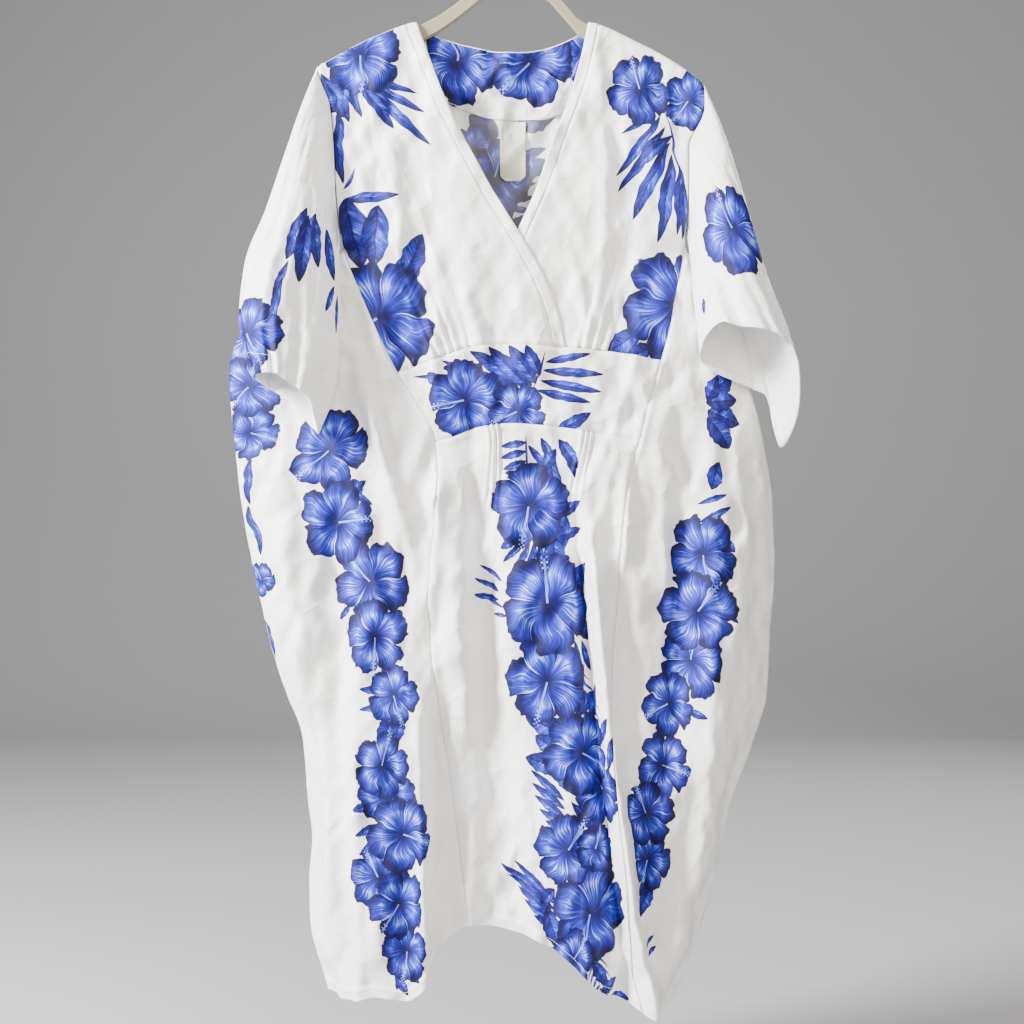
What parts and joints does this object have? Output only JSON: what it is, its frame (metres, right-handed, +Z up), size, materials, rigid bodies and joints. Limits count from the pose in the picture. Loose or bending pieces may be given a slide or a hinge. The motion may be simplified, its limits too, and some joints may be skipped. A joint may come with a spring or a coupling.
{
  "type": "hawaiian dress on a hanger",
  "caption": "Loose floral hawaiian dress with a crossed V neck, empire band, gathered skirt and short bell sleeves, hung on a moulded hanger.",
  "frame": {"origin": "the point where the hanger's hook bears on its rail, at the top of the inside of the hook", "axes": "+X to the viewer's right across the dress, +Y from the front of the dress to its back, +Z up"},
  "size_m": [0.653, 0.1761, 1.3006],
  "materials": {
    "printed_cloth": "thin lustrous white cloth with a blue flower print",
    "label_tape": "plain woven tape",
    "hanger_plastic": "satin taupe moulding"
  },
  "bodies": {
    "root": {"front_bodice_r": "printed_cloth", "front_bodice_l": "printed_cloth", "neck_band_r": "printed_cloth", "neck_band_l": "printed_cloth", "midriff_band": "printed_cloth", "front_skirt": "printed_cloth", "side_panel_r": "printed_cloth", "side_panel_l": "printed_cloth", "back_panel": "printed_cloth", "back_neck_facing": "printed_cloth", "sleeve_r": "printed_cloth", "sleeve_l": "printed_cloth", "care_label": "label_tape", "hanger": "hanger_plastic"}
  },
  "joints": []
}
